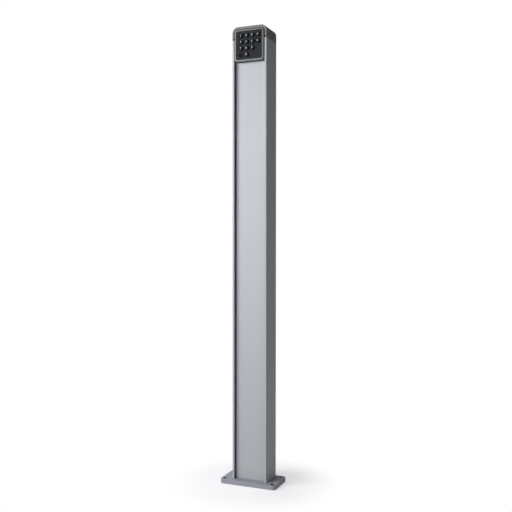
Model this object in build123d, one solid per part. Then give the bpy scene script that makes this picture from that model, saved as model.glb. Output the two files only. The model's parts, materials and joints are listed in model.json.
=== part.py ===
from build123d import *
import os

# Base plate, lying on the ground with its underside at height 0
PLATE_W = 163.0
PLATE_D = 88.0
PLATE_T = 12.0
PLATE_CORNER_R = 10.0
PLATE_EDGE_R = 1.2
ANCHOR_HOLE_D = 9.0
ANCHOR_INSET_X = 11.5
ANCHOR_INSET_Y = 10.0
CABLE_HOLE_D = 40.0

# Extruded post, with its back flush with the back edge of the plate
OVERALL_H = 1243.7
POST_W = 100.0
POST_D = 72.0
POST_WALL = 2.5
POST_CORNER_R = 1.2
NOSE_W = 5.5
NOSE_D = 7.0
PORT_R = 5.2
PORT_BORE_D = 5.5
PORT_SLOT_W = 2.4
PORT_SINK = 0.8
RAIL_T = 1.5
RAIL_REACH = 4.0

# Snap-in front cover
COVER_RECESS = 9.0
COVER_GAP = 2.5
COVER_T = 2.4
COVER_BORDER_W = 6.0
COVER_BORDER_RISE = 0.45
COVER_END_GAP = 0.5
SEAT_T = 1.5
SEAT_LAP = 2.5

# Spring clips bonded into pockets in the back of the cover
CLIPS_A_SIDE = 5
CLIP_END_GAP = 60.0
CLIP_L = 20.0
CLIP_T = 1.5
CLIP_FOOT_W = 8.0
CLIP_FOOT_T = 0.8
CLIP_PLAY = 0.3
POCKET_PLAY = 0.1
BARB_REACH = 1.4
BARB_FLAT = 0.6
BARB_L = 2.6

# Top cap, flush with the post all round
CAP_SKIRT = 35.2
CAP_R = 16.0
CAP_WALL = 3.0
CAP_LIP = 5.0
CAP_LIP_TOP = 6.7
CAP_LIP_D = 3.5
CAP_EDGE_R = 0.8
CAP_NOTCH_W = 3.4
CAP_NOTCH_H = 4.5
TAB_T = 2.5
TAB_L = 18.0
TAB_PLAY = 0.25
SIDE_TAB_W = 16.0
BACK_TAB_W = 60.0
CAP_SCREW_SPREAD = 40.0
CAP_BOSS_R = 4.5
CAP_BOSS_L = 5.0

# Keypad frame and face
KEYPAD_H = 87.0
KEYPAD_SIDE_GAP = 1.2
KEYPAD_TOP_GAP = 0.9
BEZEL_RIM = 5.3
BEZEL_T = 5.0
BEZEL_PROUD = 3.0
BEZEL_CORNER_R = 9.0
BEZEL_EDGE_R = 4.0
BEZEL_INNER_CHAMFER = 0.4
LEDGE_W = 3.0
LEDGE_CORNER_R = 1.5
OPENING_CORNER_R = 4.5
FACE_SINK = 1.0
FACE_T = 2.0
FACE_PLAY = 0.15
CORNER_BOSS_R = 3.0
CORNER_BOSS_INSET = 4.0
BOSS_ROOT = 1.0
BOSS_BORE_DEPTH = 0.7
BOSS_PLAY = 0.5

# Keys
KEY_MARGIN_LEFT = 14.3
KEY_MARGIN_RIGHT = 12.2
KEY_MARGIN_Z = 12.7
KEY_D = 12.2
KEY_PLAY = 0.2
KEY_RISE = 4.2
BLANK_KEY_RISE = 0.8
KEY_EDGE_R = 0.9
BLANK_KEY_EDGE_R = 0.7
KEY_DISH = 0.35
KEY_FLANGE_LAP = 0.8
KEY_FLANGE_T = 1.0
KEY_SEAT_GAP = 0.1
KEY_TRAVEL = 1.0
KEY_ROWS = (("1", "2", "3", "up"), ("4", "5", "6", "down"), ("7", "8", "9"), ("blank", "0"))

# Rubber key mat and circuit board
DOME_SPARE = 0.2
DOME_R = 6.4
DOME_TOP_R = 4.0
DOME_ROOF = 0.7
DOME_WALL = 1.2
DOME_TOP_WALL = 0.4
MAT_T = 1.0
MAT_BORDER_W = 1.2
MAT_PLAY = 0.2
PILL_R = 2.6
PILL_T = 0.3
PAD_R = 3.4
PAD_T = 0.1
BOARD_T = 1.6
BOARD_PLAY = 1.4
BOARD_CORNER_R = 2.0
CHIP_SIZE = 12.0
CHIP_T = 2.0
CHIP_BEVEL = 0.5
BUZZER_R = 9.0
BUZZER_T = 6.0
BUZZER_EDGE_R = 0.8
BUZZER_HOLE_R = 1.2
BUZZER_HOLE_DEPTH = 1.5
RELAY_W = 15.0
RELAY_H = 19.0
RELAY_T = 8.0
RELAY_EDGE_R = 0.6
TERMINAL_WAYS = 6
TERMINAL_PITCH = 5.0
TERMINAL_H = 9.0
TERMINAL_T = 9.0
TERMINAL_WALL = 1.0
TERMINAL_WELL = 2.5

# Keypad back box and the bracket that carries it
SEAL_T = 1.0
SEAL_W = 2.6
BOX_PLAY = 0.8
BOX_WALL = 2.0
BOX_DEPTH = 21.0
BOX_STEP_PLAY = 0.8
BOX_TOP_CORNER_R = 7.0
BOX_FOOT_CORNER_R = 1.5
BOX_BACK_CORNER_R = 3.0
BOX_INNER_CORNER_R = 1.5
BOX_BOSS_L = 4.0
PILLAR_R = 3.4
GROMMET_HOLE_R = 7.0
GROMMET_PLAY = 0.05
GROMMET_BORE_R = 4.0
GROMMET_FLANGE_R = 9.5
GROMMET_FLANGE_T = 1.5
GROMMET_DROP = 22.0
BRACKET_T = 2.0
BRACKET_PLAY = 0.2
BRACKET_FOOT = 4.0
BRACKET_HEAD = 20.0
BRACKET_BEND_R = 1.8
BRACKET_RELIEF_W = 1.0
BRACKET_RELIEF_H = 4.0
FLAP_W = 10.5
FLAP_L = 13.0
BOX_SCREW_X = 20.0
BOX_SCREW_Z = 24.0

# Screws: thread radius, head radius, head height, length under the head
THREAD_PLAY = 0.05
PAN_HEAD_ROUND = 0.45
SOCKET_SHARE = 0.5
SOCKET_SIDES = 6
SOCKET_FLOOR = 0.6
BASE_SCREW = (PORT_BORE_D / 2 - THREAD_PLAY, 6.0, 3.3, 26.0)
CAP_SCREW = (1.95, 3.8, 1.85, 7.0)
FLAP_SCREW = (PORT_BORE_D / 2 - THREAD_PLAY, 3.7, 3.0, 16.0)
BOX_SCREW = (1.95, 3.6, 2.4, 7.5)
CASE_SCREW = (1.2, 2.3, 1.6, 20.5)
TERMINAL_SCREW = (1.2, 1.7, 0.9, 4.0)
SHANK_PLAY = 0.3

# How far a cut starts outside the face that it opens, and how near counts as on a line
OVERCUT = 1.0
NEAR = 0.1

# Heights and depths that follow from the sizes above
POST_BACK = PLATE_D / 2
POST_FRONT = POST_BACK - POST_D
POST_MID = (POST_FRONT + POST_BACK) / 2
POST_TOP = OVERALL_H - CAP_SKIRT
HALF_POST = POST_W / 2
HALF_ROOM = HALF_POST - POST_WALL
HALF_MOUTH = HALF_POST - NOSE_W

KEYPAD_TOP = OVERALL_H - CAP_LIP_TOP - KEYPAD_TOP_GAP
KEYPAD_BOTTOM = KEYPAD_TOP - KEYPAD_H
KEYPAD_MID = (KEYPAD_TOP + KEYPAD_BOTTOM) / 2
KEYPAD_W = 2 * (HALF_MOUTH - KEYPAD_SIDE_GAP)
OPENING_W = KEYPAD_W - 2 * BEZEL_RIM
OPENING_H = KEYPAD_H - 2 * BEZEL_RIM
KEY_FLANGE_R = KEY_D / 2 + KEY_FLANGE_LAP

BEZEL_FRONT = POST_FRONT - BEZEL_PROUD
BEZEL_BACK = BEZEL_FRONT + BEZEL_T
FACE_FRONT = BEZEL_FRONT + FACE_SINK
FACE_BACK = FACE_FRONT + FACE_T
FLANGE_FRONT = FACE_BACK + KEY_SEAT_GAP
FLANGE_BACK = FLANGE_FRONT + KEY_FLANGE_T
DOME_H = KEY_TRAVEL + DOME_SPARE
MAT_FRONT = FLANGE_BACK + DOME_H
BOARD_FRONT = MAT_FRONT + MAT_T
BOARD_BACK = BOARD_FRONT + BOARD_T
BOX_FRONT = BEZEL_BACK + SEAL_T
BOX_BACK = BOX_FRONT + BOX_DEPTH
BRACKET_FRONT = BOX_BACK
BRACKET_BACK = BRACKET_FRONT + BRACKET_T

COVER_FRONT = POST_FRONT + COVER_RECESS
COVER_BACK = COVER_FRONT + COVER_T
HALF_COVER = HALF_MOUTH - COVER_GAP
SEAT_END = HALF_COVER - SEAT_LAP
SEAT_BACK = COVER_BACK + SEAT_T
COVER_FOOT = PLATE_T + COVER_END_GAP
COVER_TOP = KEYPAD_BOTTOM - COVER_END_GAP

RAIL_FRONT = BRACKET_FRONT - BRACKET_PLAY
RAIL_BACK = BRACKET_BACK + BRACKET_PLAY
PORT_X = HALF_ROOM - PORT_R + PORT_SINK
REAR_PORT_Y = POST_BACK - POST_WALL - PORT_R + PORT_SINK
FRONT_PORT_Y = RAIL_BACK + RAIL_T + PORT_R - PORT_SINK
PORTS = [(side * PORT_X, y) for side in (-1, 1) for y in (FRONT_PORT_Y, REAR_PORT_Y)]

CORNER_X = OPENING_W / 2 - CORNER_BOSS_INSET
CORNER_Z = OPENING_H / 2 - CORNER_BOSS_INSET
CORNERS = [(sx * CORNER_X, KEYPAD_MID + sz * CORNER_Z) for sx in (-1, 1) for sz in (-1, 1)]
BOX_SCREWS = [(sx * BOX_SCREW_X, KEYPAD_MID + sz * BOX_SCREW_Z) for sx in (-1, 1) for sz in (-1, 1)]


def key_places():
    """Each key's name with the place of its centre across and up the face."""
    left = -OPENING_W / 2 + KEY_MARGIN_LEFT
    top = OPENING_H / 2 - KEY_MARGIN_Z
    column_pitch = (OPENING_W / 2 - KEY_MARGIN_RIGHT - left) / (len(KEY_ROWS[0]) - 1)
    row_pitch = 2 * top / (len(KEY_ROWS) - 1)
    places = {}
    for row, names in enumerate(KEY_ROWS):
        for column, name in enumerate(names):
            places[name] = (left + column * column_pitch, KEYPAD_MID + top - row * row_pitch)
    return places


KEYS = key_places()


def block(x0, x1, y0, y1, z0, z1):
    """A rectangular block between two opposite corners."""
    middle = Pos((x0 + x1) / 2, (y0 + y1) / 2, (z0 + z1) / 2)
    return middle * Box(x1 - x0, y1 - y0, z1 - z0)


def facing(sketch, y_front, y_back):
    """A shape drawn as seen from the front, made solid between two depths."""
    return extrude(Plane.XZ.offset(-y_back) * sketch, amount=y_back - y_front)


def rod_facing(x, z, radius, y_front, y_back):
    """A round rod that runs front to back."""
    return facing(Pos(x, z) * Circle(radius), y_front, y_back)


def rod_upright(x, y, radius, z0, z1):
    """A round rod that stands upright."""
    return Pos(x, y, (z0 + z1) / 2) * Cylinder(radius, z1 - z0)


def rect(x0, x1, y0, y1):
    """A flat rectangle between two opposite corners."""
    return Pos((x0 + x1) / 2, (y0 + y1) / 2) * Rectangle(x1 - x0, y1 - y0)


def corners_rounded(sketch, top_r, bottom_r):
    """A flat rectangle with one radius on its two upper corners and one on its lower two."""
    rows = sketch.vertices().group_by(Axis.Y)
    upper, lower = rows[-1], rows[0]
    if top_r > 0:
        sketch = fillet(upper, top_r)
        lower = sketch.vertices().group_by(Axis.Y)[0]
    if bottom_r > 0:
        sketch = fillet(lower, bottom_r)
    return sketch


def socket_solid(screw):
    """What the hexagon socket takes out of a screw's head, its floor at height 0."""
    head_r, head_h = screw[1:3]
    return extrude(RegularPolygon(head_r * SOCKET_SHARE, SOCKET_SIDES), amount=head_h)


def pan_screw(screw):
    """A round-headed screw, its seat at height 0 and its thread below."""
    thread_r, head_r, head_h, length = screw
    head = Pos(0, 0, head_h / 2) * Cylinder(head_r, head_h)
    head = fillet(head.edges().group_by(Axis.Z)[-1], head_h * PAN_HEAD_ROUND)
    socket = Pos(0, 0, head_h / 2) * socket_solid(screw)
    return head - socket + Pos(0, 0, -length / 2) * Cylinder(thread_r, length)


def flush_screw(screw):
    """A countersunk screw, the flat of its head at height 0 and its thread below."""
    thread_r, head_r, head_h, length = screw
    head = Pos(0, 0, -head_h / 2) * Cone(thread_r, head_r, head_h)
    socket = Pos(0, 0, -head_h * SOCKET_FLOOR) * socket_solid(screw)
    shank = Pos(0, 0, -(head_h + length) / 2) * Cylinder(thread_r, length - head_h)
    return head + shank - socket


def sink_for(screw):
    """The countersunk hole that a flush screw's head and shank pass through, mouth at height 0."""
    thread_r, head_r, head_h, length = screw
    hole_r = thread_r + SHANK_PLAY
    cone = Pos(0, 0, -head_h / 2) * Cone(hole_r, head_r + SHANK_PLAY, head_h)
    return cone + Pos(0, 0, -length / 2) * Cylinder(hole_r, length)


def base_plate():
    """Thick plate with four anchor holes, a cable hole and countersinks on its underside."""
    outline = RectangleRounded(PLATE_W, PLATE_D, PLATE_CORNER_R)
    plate = extrude(outline, amount=PLATE_T)
    plate = fillet(plate.edges().group_by(Axis.Z)[-1], PLATE_EDGE_R)
    for sx in (-1, 1):
        for sy in (-1, 1):
            x = sx * (PLATE_W / 2 - ANCHOR_INSET_X)
            y = sy * (PLATE_D / 2 - ANCHOR_INSET_Y)
            plate -= rod_upright(x, y, ANCHOR_HOLE_D / 2, -OVERCUT, PLATE_T + OVERCUT)
    plate -= rod_upright(0, POST_MID, CABLE_HOLE_D / 2, -OVERCUT, PLATE_T + OVERCUT)
    for x, y in PORTS:
        plate -= Pos(x, y, 0) * Rot(180, 0, 0) * sink_for(BASE_SCREW)
    return plate


def base_screws():
    """Screws that hold the plate to the foot of the post, one in each screw port."""
    return [Pos(x, y, 0) * Rot(180, 0, 0) * flush_screw(BASE_SCREW) for x, y in PORTS]


def post_section():
    """Cross-section of the post: an open channel with noses, seats, rails and screw ports."""
    section = Pos(0, POST_MID) * RectangleRounded(POST_W, POST_D, POST_CORNER_R)
    section -= rect(-HALF_ROOM, HALF_ROOM, POST_FRONT + NOSE_D, POST_BACK - POST_WALL)
    section -= rect(-HALF_MOUTH, HALF_MOUTH, POST_FRONT - OVERCUT, POST_FRONT + NOSE_D + OVERCUT)
    for side in (-1, 1):
        wall = side * (HALF_ROOM + POST_WALL / 2)
        seat_x = sorted((side * SEAT_END, wall))
        rail_x = sorted((side * (HALF_ROOM - RAIL_REACH), wall))
        section += rect(*seat_x, COVER_BACK, SEAT_BACK)
        section += rect(*rail_x, RAIL_FRONT - RAIL_T, RAIL_FRONT)
        section += rect(*rail_x, RAIL_BACK, RAIL_BACK + RAIL_T)
    for x, y in PORTS:
        section += Pos(x, y) * Circle(PORT_R)
    for x, y in PORTS:
        section -= Pos(x, y) * Circle(PORT_BORE_D / 2)
        slot_x = sorted((x, x - (1 if x > 0 else -1) * (PORT_R + OVERCUT)))
        section -= rect(*slot_x, y - PORT_SLOT_W / 2, y + PORT_SLOT_W / 2)
    return section


def post_profile():
    """The extruded post, drilled at the back for the screws of the cap."""
    post = extrude(Pos(0, 0, PLATE_T) * post_section(), amount=POST_TOP - PLATE_T)
    for x, z in cap_screw_places():
        post -= Pos(x, POST_BACK, z) * Rot(-90, 0, 0) * sink_for(CAP_SCREW)
    return post


def clip_heights():
    """The height of each clip's middle, evenly spread along the cover."""
    first = COVER_FOOT + CLIP_END_GAP
    pitch = (COVER_TOP - CLIP_END_GAP - first) / (CLIPS_A_SIDE - 1)
    return [first + i * pitch for i in range(CLIPS_A_SIDE)]


def clip_section():
    """Cross-section of the right-hand clip: a flat foot and a leg with a barb behind the seat."""
    leg_out = SEAT_END - CLIP_PLAY
    leg_in = leg_out - CLIP_T
    foot_in = leg_out - CLIP_FOOT_W
    barb_y = SEAT_BACK + CLIP_PLAY
    barb_out = leg_out + BARB_REACH
    return make_face(Polyline(
        (foot_in, COVER_BACK - CLIP_FOOT_T), (leg_out, COVER_BACK - CLIP_FOOT_T), (leg_out, barb_y),
        (barb_out, barb_y), (barb_out, barb_y + BARB_FLAT), (leg_out, barb_y + BARB_L),
        (leg_in, barb_y + BARB_L), (leg_in, COVER_BACK), (foot_in, COVER_BACK), close=True))


def front_cover():
    """The long panel with sloped borders, from the plate up to the keypad, pocketed for its clips."""
    field = COVER_FRONT + COVER_BORDER_RISE
    inner = HALF_COVER - COVER_BORDER_W
    section = make_face(Polyline(
        (-HALF_COVER, COVER_FRONT), (-inner, field), (inner, field), (HALF_COVER, COVER_FRONT),
        (HALF_COVER, COVER_BACK), (-HALF_COVER, COVER_BACK), close=True))
    cover = extrude(Pos(0, 0, COVER_FOOT) * section, amount=COVER_TOP - COVER_FOOT)
    pocket_out = SEAT_END - CLIP_PLAY + POCKET_PLAY
    pocket_in = pocket_out - CLIP_FOOT_W - 2 * POCKET_PLAY
    half = CLIP_L / 2 + POCKET_PLAY
    for side in (-1, 1):
        pocket_x = sorted((side * pocket_in, side * pocket_out))
        for z in clip_heights():
            cover -= block(*pocket_x, COVER_BACK - CLIP_FOOT_T, COVER_BACK + OVERCUT, z - half, z + half)
    return cover


def cover_clips():
    """Spring clips in the pockets of the cover, which snap behind the seats of the post."""
    clip = extrude(clip_section(), amount=CLIP_L)
    pair = (clip, mirror(clip, about=Plane.YZ))
    return [Pos(0, 0, z - CLIP_L / 2) * side for z in clip_heights() for side in pair]


def cap_screw_places():
    """Where the two screws of the cap pass through the back of the post."""
    z = POST_TOP - TAB_L / 2
    return [(-CAP_SCREW_SPREAD / 2, z), (CAP_SCREW_SPREAD / 2, z)]


def hood_outline(inset, top_inset):
    """The rounded outline of the cap as seen from the front, drawn in at the sides and at the top."""
    half = HALF_POST - inset
    shape = rect(-half, half, POST_TOP, OVERALL_H - top_inset)
    return corners_rounded(shape, CAP_R - inset, 0)


def top_cap():
    """Hood with a front lip, hollow below, with tabs that plug into the post."""
    cap = facing(hood_outline(0, 0), POST_FRONT, POST_BACK)
    crown = [e for e in cap.edges() if e.center().Z > POST_TOP + NEAR and abs(e.center().Y - POST_MID) > NEAR]
    cap = fillet(crown, CAP_EDGE_R)
    below = Pos(0, -CAP_SKIRT)
    cavity = hood_outline(CAP_WALL, CAP_WALL) + below * rect(
        -(HALF_POST - CAP_WALL), HALF_POST - CAP_WALL, POST_TOP + OVERCUT, OVERALL_H - CAP_R)
    cap -= facing(cavity, POST_FRONT + CAP_LIP_D, POST_BACK - CAP_WALL)
    mouth = hood_outline(CAP_LIP, CAP_LIP_TOP) + below * rect(
        -(HALF_POST - CAP_LIP), HALF_POST - CAP_LIP, POST_TOP + OVERCUT, OVERALL_H - CAP_R)
    cap -= facing(mouth, POST_FRONT - OVERCUT, POST_FRONT + CAP_LIP_D + OVERCUT)
    for side in (-1, 1):
        notch_x = sorted((side * (HALF_MOUTH - OVERCUT), side * (HALF_MOUTH + CAP_NOTCH_W)))
        cap -= block(*notch_x, POST_FRONT - OVERCUT, POST_FRONT + CAP_LIP_D + OVERCUT, POST_TOP - OVERCUT,
                     POST_TOP + CAP_NOTCH_H)
        tab_x = sorted((side * (HALF_ROOM - TAB_PLAY), side * (HALF_ROOM - TAB_PLAY - TAB_T)))
        mid_y = (FRONT_PORT_Y + REAR_PORT_Y) / 2
        cap += block(*tab_x, mid_y - SIDE_TAB_W / 2, mid_y + SIDE_TAB_W / 2,
                     POST_TOP - TAB_L, POST_TOP + CAP_WALL)
    tab_back = POST_BACK - POST_WALL - TAB_PLAY
    cap += block(-BACK_TAB_W / 2, BACK_TAB_W / 2, tab_back - TAB_T, tab_back,
                 POST_TOP - TAB_L, POST_TOP + CAP_WALL)
    for x, z in cap_screw_places():
        cap += rod_facing(x, z, CAP_BOSS_R, tab_back - TAB_T - CAP_BOSS_L, tab_back - TAB_T / 2)
        bore_front = tab_back - TAB_T - CAP_BOSS_L - OVERCUT
        cap -= rod_facing(x, z, CAP_SCREW[0] + THREAD_PLAY, bore_front, POST_BACK)
    return cap


def cap_screws():
    """Flush screws through the back of the post into the cap's tab."""
    return [Pos(x, POST_BACK, z) * Rot(-90, 0, 0) * flush_screw(CAP_SCREW)
            for x, z in cap_screw_places()]


def keypad_bezel():
    """Cast frame with a rounded rim, a pocket for the face and a ledge behind it."""
    centre = Pos(0, KEYPAD_MID)
    bezel = facing(centre * RectangleRounded(KEYPAD_W, KEYPAD_H, BEZEL_CORNER_R), BEZEL_FRONT, BEZEL_BACK)
    bezel = fillet(bezel.edges().group_by(Axis.Y)[0], BEZEL_EDGE_R)
    pocket = RectangleRounded(OPENING_W, OPENING_H, OPENING_CORNER_R)
    bezel -= facing(centre * pocket, BEZEL_FRONT - OVERCUT, FACE_BACK)
    rim_x = OPENING_W / 2 + NEAR
    rim_z = OPENING_H / 2 + NEAR
    rim = [e for e in bezel.edges().group_by(Axis.Y)[0]
           if abs(e.center().X) < rim_x and abs(e.center().Z - KEYPAD_MID) < rim_z]
    bezel = chamfer(rim, BEZEL_INNER_CHAMFER)
    ledge = RectangleRounded(OPENING_W - 2 * LEDGE_W, OPENING_H - 2 * LEDGE_W, LEDGE_CORNER_R)
    bezel -= facing(centre * ledge, FACE_BACK - OVERCUT, BEZEL_BACK + OVERCUT)
    for x, z in CORNERS:
        bezel -= rod_facing(x, z, CORNER_BOSS_R + BOSS_PLAY, FACE_BACK, BEZEL_BACK + OVERCUT)
    return bezel


def keypad_face():
    """Dark face plate with a hole for each key and four screw bosses behind."""
    width = OPENING_W - 2 * FACE_PLAY
    height = OPENING_H - 2 * FACE_PLAY
    outline = RectangleRounded(width, height, OPENING_CORNER_R - FACE_PLAY)
    face = facing(Pos(0, KEYPAD_MID) * outline, FACE_FRONT, FACE_BACK)
    for x, z in KEYS.values():
        face -= rod_facing(x, z, KEY_D / 2 + KEY_PLAY, FACE_FRONT - OVERCUT, FACE_BACK + OVERCUT)
    bore_r = CASE_SCREW[0] + THREAD_PLAY
    for x, z in CORNERS:
        face += rod_facing(x, z, CORNER_BOSS_R, FACE_BACK - BOSS_ROOT, BOARD_FRONT)
        face -= rod_facing(x, z, bore_r, FACE_BACK - BOSS_BORE_DEPTH, BOARD_FRONT + OVERCUT)
    return face


def key_solid(rise, edge):
    """A round key with a dished top, standing on its flange at height 0."""
    top = FLANGE_BACK - FACE_FRONT + rise
    radius = KEY_D / 2
    cap = Pos(0, 0, top / 2) * Cylinder(radius, top)
    cap = fillet(cap.edges().group_by(Axis.Z)[-1], edge)
    flange = Pos(0, 0, KEY_FLANGE_T / 2) * Cylinder(KEY_FLANGE_R, KEY_FLANGE_T)
    rim = radius - edge
    dish_r = (rim ** 2 + KEY_DISH ** 2) / (2 * KEY_DISH)
    return cap + flange - Pos(0, 0, top - KEY_DISH + dish_r) * Sphere(dish_r)


def key(name):
    """One key in its place, facing the front."""
    x, z = KEYS[name]
    rise, edge = (BLANK_KEY_RISE, BLANK_KEY_EDGE_R) if name == "blank" else (KEY_RISE, KEY_EDGE_R)
    return Pos(x, FLANGE_BACK, z) * Rot(90, 0, 0) * key_solid(rise, edge)


def pill(name):
    """The carbon pill under the roof of one key's dome, which travels with the key."""
    x, z = KEYS[name]
    front = FLANGE_BACK + DOME_ROOF
    return rod_facing(x, z, PILL_R, front, front + PILL_T)


def dome_solid():
    """The raised part of one dome, its foot at height 0."""
    return Pos(0, 0, DOME_H / 2) * Cone(DOME_R, DOME_TOP_R, DOME_H)


def dome_hollow():
    """The hollow behind one dome, its mouth at the back of the mat."""
    depth = MAT_T + DOME_H - DOME_ROOF
    return Pos(0, 0, depth / 2 - MAT_T) * Cone(DOME_R - DOME_WALL, DOME_TOP_R - DOME_TOP_WALL, depth)


def key_mat():
    """One-piece rubber mat with a dome for each key and a raised sealing border."""
    half_w = OPENING_W / 2 - LEDGE_W - MAT_PLAY
    half_h = OPENING_H / 2 - LEDGE_W - MAT_PLAY
    centre = Pos(0, KEYPAD_MID)
    sheet = facing(centre * Rectangle(2 * half_w, 2 * half_h), FACE_BACK, BOARD_FRONT)
    inner = Rectangle(2 * (half_w - MAT_BORDER_W), 2 * (half_h - MAT_BORDER_W))
    mat = sheet - facing(centre * inner, FACE_BACK - OVERCUT, MAT_FRONT)
    for x, z in CORNERS:
        mat -= rod_facing(x, z, CORNER_BOSS_R + BOSS_PLAY, FACE_BACK - OVERCUT, BOARD_FRONT + OVERCUT)
    for x, z in KEYS.values():
        mat += Pos(x, MAT_FRONT, z) * Rot(90, 0, 0) * dome_solid()
    for x, z in KEYS.values():
        mat -= Pos(x, MAT_FRONT, z) * Rot(90, 0, 0) * dome_hollow()
    return mat


def contact_pads():
    """Gold contact pads on the board, one behind each pill."""
    return [rod_facing(x, z, PAD_R, BOARD_FRONT - PAD_T, BOARD_FRONT) for x, z in KEYS.values()]


def board_half():
    """Half the width and half the height of the circuit board."""
    inset = BOX_PLAY + BOX_WALL + BOARD_PLAY
    return KEYPAD_W / 2 - inset, KEYPAD_H / 2 - inset


def circuit_board():
    """Circuit board with a hole at each corner for the case screws."""
    half_w, half_h = board_half()
    outline = RectangleRounded(2 * half_w, 2 * half_h, BOARD_CORNER_R)
    board = facing(Pos(0, KEYPAD_MID) * outline, BOARD_FRONT, BOARD_BACK)
    for x, z in CORNERS:
        board -= rod_facing(x, z, CASE_SCREW[0] + SHANK_PLAY, BOARD_FRONT - OVERCUT, BOARD_BACK + OVERCUT)
    return board


def control_chip():
    """Square control chip with a bevelled edge on the back of the board."""
    half = CHIP_SIZE / 2
    chip = block(-half, half, BOARD_BACK, BOARD_BACK + CHIP_T, KEYPAD_MID - half, KEYPAD_MID + half)
    return chamfer(chip.edges().group_by(Axis.Y)[-1], CHIP_BEVEL)


def buzzer():
    """Round buzzer with its sound hole, on the back of the board."""
    x = OPENING_W / 4
    z = KEYPAD_MID + OPENING_H / 4
    can = rod_facing(x, z, BUZZER_R, BOARD_BACK, BOARD_BACK + BUZZER_T)
    can = fillet(can.edges().group_by(Axis.Y)[-1], BUZZER_EDGE_R)
    top = BOARD_BACK + BUZZER_T
    return can - rod_facing(x, z, BUZZER_HOLE_R, top - BUZZER_HOLE_DEPTH, top + OVERCUT)


def relay():
    """Relay block on the back of the board."""
    x = -OPENING_W / 4
    z = KEYPAD_MID + OPENING_H / 4
    case = block(x - RELAY_W / 2, x + RELAY_W / 2, BOARD_BACK, BOARD_BACK + RELAY_T,
                 z - RELAY_H / 2, z + RELAY_H / 2)
    return fillet(case.edges().group_by(Axis.Y)[-1], RELAY_EDGE_R)


def terminal_ways():
    """Where each way of the terminal block lies across the board, and its height."""
    first = -(TERMINAL_WAYS - 1) / 2 * TERMINAL_PITCH
    z = KEYPAD_MID - OPENING_H / 4
    return [(first + way * TERMINAL_PITCH, z) for way in range(TERMINAL_WAYS)]


def terminal_block():
    """Terminal block with a wire entry below and a screw well behind for each way."""
    ways = terminal_ways()
    z = ways[0][1]
    half = TERMINAL_WAYS * TERMINAL_PITCH / 2
    top = BOARD_BACK + TERMINAL_T
    well = top - TERMINAL_WELL
    body = block(-half, half, BOARD_BACK, top, z - TERMINAL_H / 2, z + TERMINAL_H / 2)
    entry = TERMINAL_PITCH / 2 - TERMINAL_WALL
    for x, way_z in ways:
        entry_front = BOARD_BACK + TERMINAL_WALL
        body -= block(x - entry, x + entry, entry_front, entry_front + 2 * entry,
                      way_z - TERMINAL_H / 2 - OVERCUT, way_z)
        body -= rod_facing(x, way_z, TERMINAL_SCREW[1] + THREAD_PLAY, well, top + OVERCUT)
        body -= rod_facing(x, way_z, TERMINAL_SCREW[0] + THREAD_PLAY, well - TERMINAL_SCREW[3], top)
    return body


def terminal_screws():
    """The clamping screws in the wells of the terminal block."""
    seat = BOARD_BACK + TERMINAL_T - TERMINAL_WELL
    return [Pos(x, seat, z) * Rot(-90, 0, 0) * pan_screw(TERMINAL_SCREW) for x, z in terminal_ways()]


def housing_seal():
    """Flat rubber ring between the frame and the back box."""
    half_w = KEYPAD_W / 2 - BOX_PLAY
    half_h = KEYPAD_H / 2 - BOX_PLAY
    centre = Pos(0, KEYPAD_MID)
    ring = centre * RectangleRounded(2 * half_w, 2 * half_h, BOX_TOP_CORNER_R)
    ring -= centre * RectangleRounded(2 * (half_w - SEAL_W), 2 * (half_h - SEAL_W), BOX_TOP_CORNER_R - SEAL_W)
    return facing(ring, BEZEL_BACK, BOX_FRONT)


def keypad_housing():
    """Stepped back box: a wide tray that rests on the seats and a narrower box behind."""
    half_w = KEYPAD_W / 2 - BOX_PLAY
    half_h = KEYPAD_H / 2 - BOX_PLAY
    step_w = SEAT_END - BOX_STEP_PLAY
    tray_w, tray_h = half_w - BOX_WALL, half_h - BOX_WALL
    inner_w, inner_h = step_w - BOX_WALL, half_h - BOX_WALL
    tray_floor = COVER_BACK - BOX_WALL
    tray = corners_rounded(Pos(0, KEYPAD_MID) * Rectangle(2 * half_w, 2 * half_h),
                           BOX_TOP_CORNER_R, BOX_FOOT_CORNER_R)
    centre = Pos(0, KEYPAD_MID)
    box = facing(tray, BOX_FRONT, COVER_BACK)
    box += facing(centre * RectangleRounded(2 * step_w, 2 * half_h, BOX_BACK_CORNER_R), tray_floor, BOX_BACK)
    tray_hollow = RectangleRounded(2 * tray_w, 2 * tray_h, BOX_TOP_CORNER_R - BOX_WALL)
    box_hollow = RectangleRounded(2 * inner_w, 2 * inner_h, BOX_INNER_CORNER_R)
    floor_front = BOX_BACK - BOX_WALL
    box -= facing(centre * tray_hollow, BOX_FRONT - OVERCUT, tray_floor)
    box -= facing(centre * box_hollow, tray_floor - OVERCUT, floor_front)
    for x, z in CORNERS:
        box += rod_facing(x, z, PILLAR_R, BOARD_BACK, BOX_BACK - BOX_WALL / 2)
    for x, z in BOX_SCREWS:
        box += rod_facing(x, z, BOX_SCREW[1], floor_front - BOX_BOSS_L, BOX_BACK - BOX_WALL / 2)
    for x, z in CORNERS:
        box -= rod_facing(x, z, CASE_SCREW[0] + SHANK_PLAY, BOARD_BACK - OVERCUT, BOX_BACK + OVERCUT)
        box -= rod_facing(x, z, CASE_SCREW[1] + SHANK_PLAY, BOX_BACK - CASE_SCREW[2], BOX_BACK + OVERCUT)
    thread_front = floor_front - BOX_BOSS_L - OVERCUT
    for x, z in BOX_SCREWS:
        box -= rod_facing(x, z, BOX_SCREW[0] + THREAD_PLAY, thread_front, BOX_BACK + OVERCUT)
    grommet_z = KEYPAD_MID - GROMMET_DROP
    return box - rod_facing(0, grommet_z, GROMMET_HOLE_R, floor_front - OVERCUT, BOX_BACK + OVERCUT)


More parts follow.
